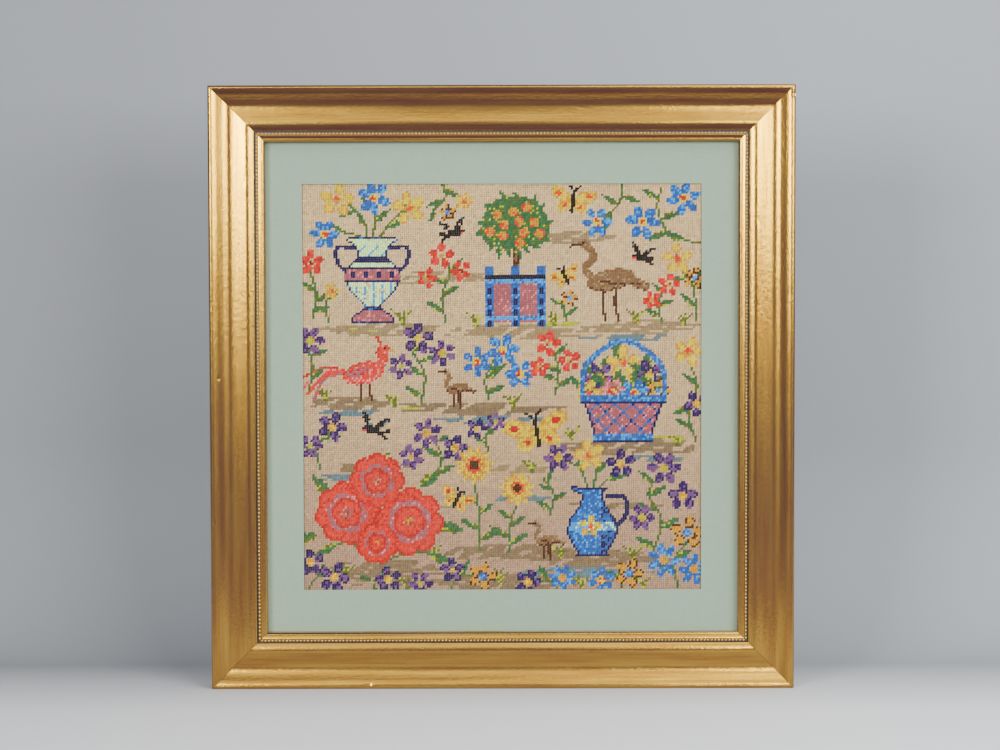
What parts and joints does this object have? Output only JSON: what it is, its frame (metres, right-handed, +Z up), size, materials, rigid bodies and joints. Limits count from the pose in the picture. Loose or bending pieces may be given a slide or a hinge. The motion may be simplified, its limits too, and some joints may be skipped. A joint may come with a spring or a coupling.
{
  "type": "framed needlepoint panel",
  "caption": "Stitched canvas panel in a pale green window mount and a mitred gilt moulding with a pearl run; stands upright on its lower rail or hangs by its back.",
  "frame": {"origin": "middle of the panel's width and depth, on the underside of the lower rail", "axes": "+Z up the height of the panel, the stitched face looks along -Y, +X to the right as seen from the front"},
  "size_m": [0.525, 0.0298, 0.5425],
  "materials": {
    "gilt": "satin gilding over gesso, rubbed along the crests",
    "mount_paper": "matt pale green paper with a fine grain",
    "wool_canvas": "matt wool tent stitch on canvas, many colours on a beige ground",
    "hardboard": "plain matt brown board"
  },
  "bodies": {
    "root": {"rail_top": "gilt", "rail_bottom": "gilt", "rail_left": "gilt", "rail_right": "gilt", "pearls_top": "gilt", "pearls_bottom": "gilt", "pearls_left": "gilt", "pearls_right": "gilt", "window_mount": "mount_paper", "needlework": "wool_canvas", "backing_board": "hardboard"}
  },
  "joints": []
}
